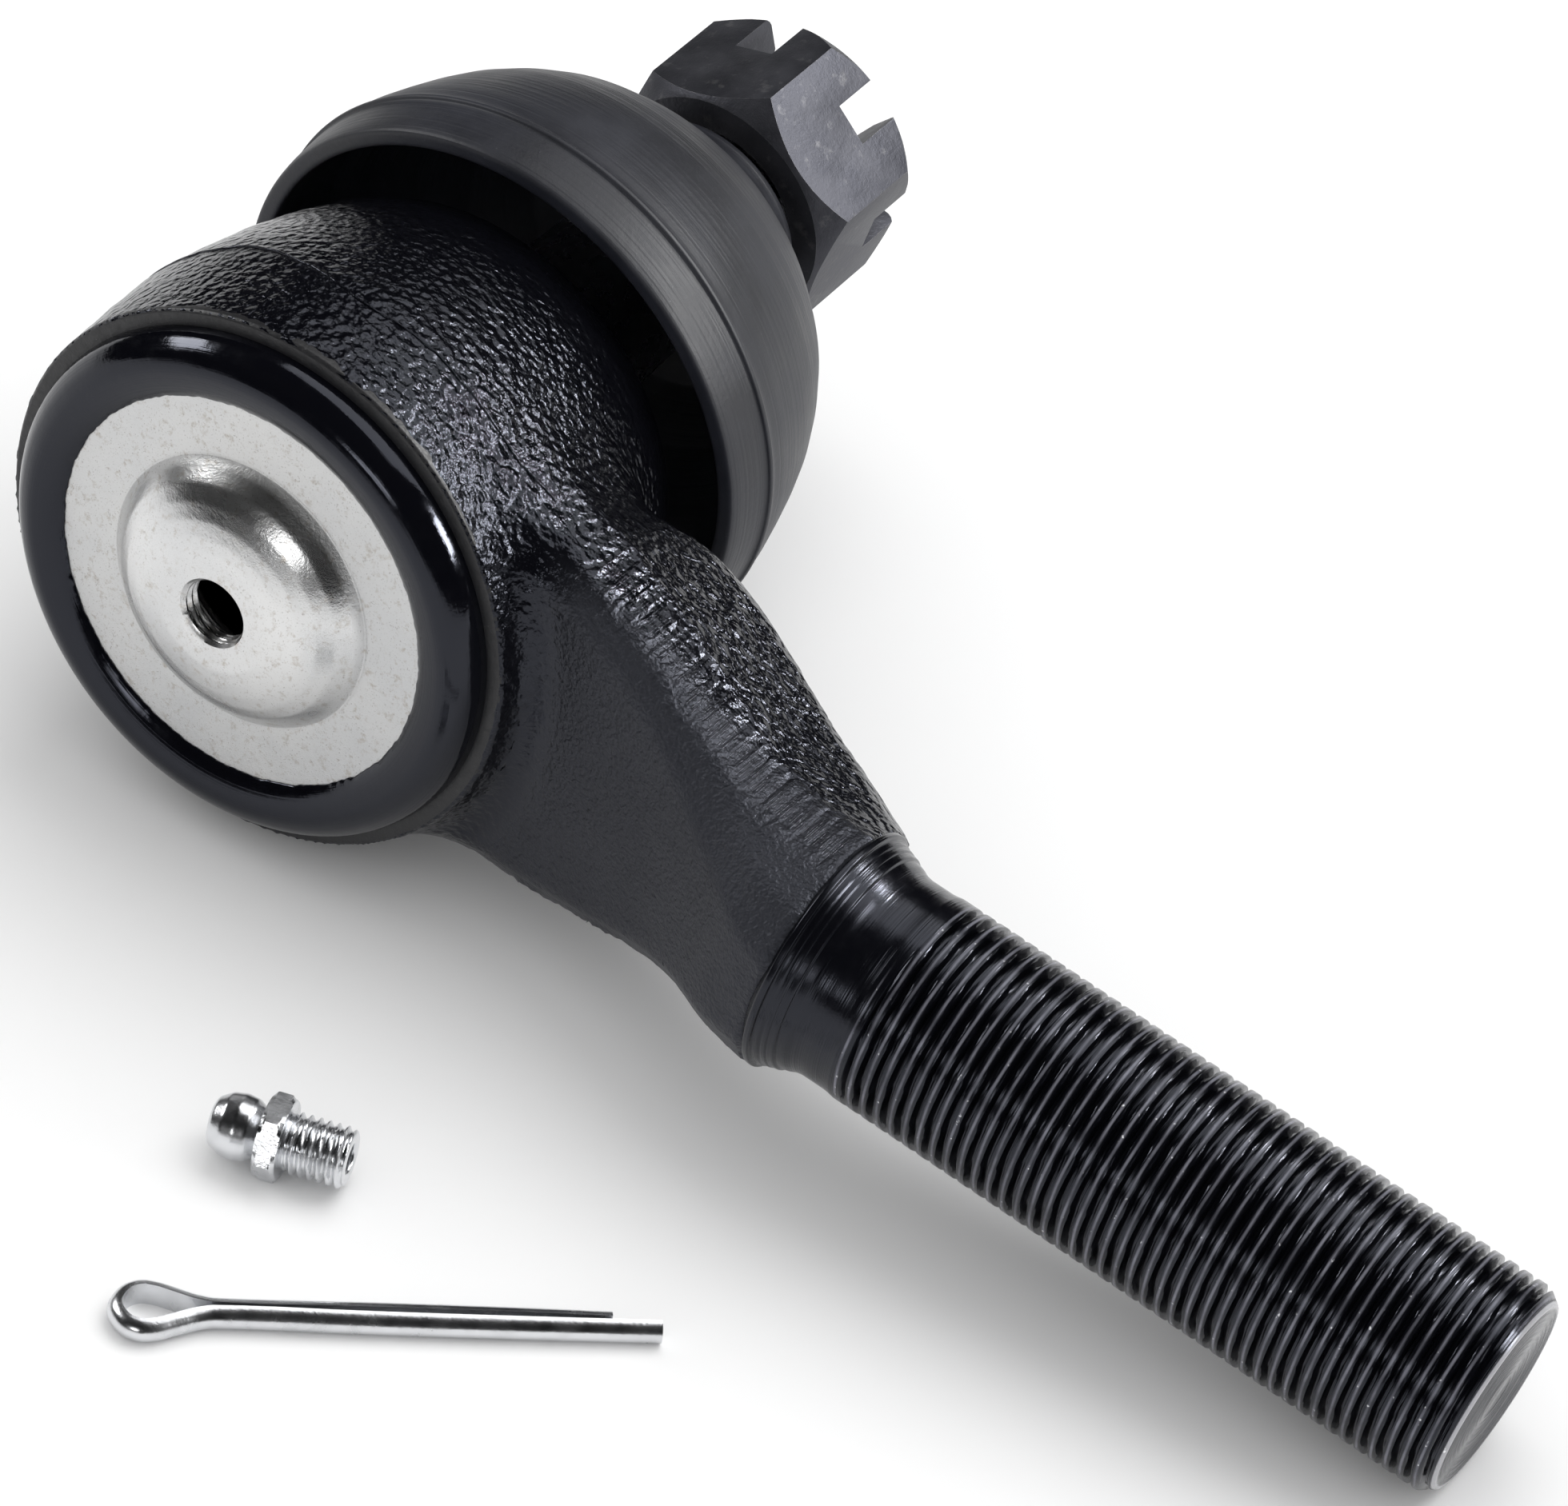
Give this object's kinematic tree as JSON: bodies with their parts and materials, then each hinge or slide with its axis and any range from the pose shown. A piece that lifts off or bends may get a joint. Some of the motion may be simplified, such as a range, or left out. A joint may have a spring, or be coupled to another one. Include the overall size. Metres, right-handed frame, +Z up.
{
  "type": "tie rod end",
  "caption": "Greasable outer tie rod end: forged housing with threaded shank, ball stud with dust boot and castle nut, with loose grease fitting and cotter pin",
  "frame": {"origin": "Floor point under the middle of the box round everything", "axes": "+Z up from the floor the parts lie on; +X is where the shank points, seen from above; +Y is where the stud points; the cover plate faces -Y"},
  "size_m": [0.1734, 0.1592, 0.0617],
  "materials": {
    "black_paint": "gloss black paint over forged steel",
    "zinc_plate": "dull fine-grained zinc plate",
    "boot_rubber": "satin moulded rubber",
    "phosphate_steel": "dark phosphate with bright worn edges",
    "stud_steel": "bare turned steel",
    "spring_steel": "oiled spring steel",
    "bearing_steel": "ground steel",
    "bright_zinc": "bright zinc plate"
  },
  "bodies": {
    "housing_body": {"housing": "black_paint", "cover_plate": "zinc_plate", "preload_spring": "spring_steel"},
    "seats": {"pressure_seat": "bearing_steel", "upper_seat": "bearing_steel"},
    "bearing": {"half_ball_bearing": "bearing_steel", "dust_boot": "boot_rubber"},
    "stud": {"ball_stud": "stud_steel"},
    "nut": {"castle_nut": "phosphate_steel"},
    "fitting": {"grease_fitting": "bright_zinc", "fitting_spring": "spring_steel"},
    "check_ball": {"fitting_check_ball": "bearing_steel"},
    "pin": {"cotter_pin": "bright_zinc"}
  },
  "joints": [
    {"name": "swing_direction", "type": "hinge", "parent": "housing_body", "child": "seats", "pos_m": [-0.05644, 0.00276, 0.02928], "axis": [-0.0059, 0.999, -0.0441], "continuous": true},
    {"name": "stud_swing", "type": "hinge", "parent": "seats", "child": "bearing", "pos_m": [-0.05644, 0.00276, 0.02928], "axis": [0.9632, -0.0062, -0.2688], "range_deg": [-24, 12.5]},
    {"name": "stud_spin", "type": "hinge", "parent": "bearing", "child": "stud", "pos_m": [-0.05644, 0.00276, 0.02928], "axis": [0.0236, 0.9978, 0.0618], "continuous": true},
    {"name": "nut_unscrew", "type": "slide", "parent": "stud", "child": "nut", "axis": [0.0236, 0.9978, 0.0618], "range_m": [0, 0.022]},
    {"name": "fitting_lift", "type": "slide", "parent": "housing_body", "child": "fitting", "axis": [0, 0, 1], "range_m": [0, 0.05]},
    {"name": "check_ball_press", "type": "slide", "parent": "fitting", "child": "check_ball", "axis": [0.9542, 0.299, 0], "range_m": [0, 0.0009], "stiffness_N_per_m": 60, "springref_m": -0.001, "deforming": ["fitting_spring"]},
    {"name": "pin_lift", "type": "slide", "parent": "housing_body", "child": "pin", "axis": [0, 0, 1], "range_m": [0, 0.05]}
  ]
}
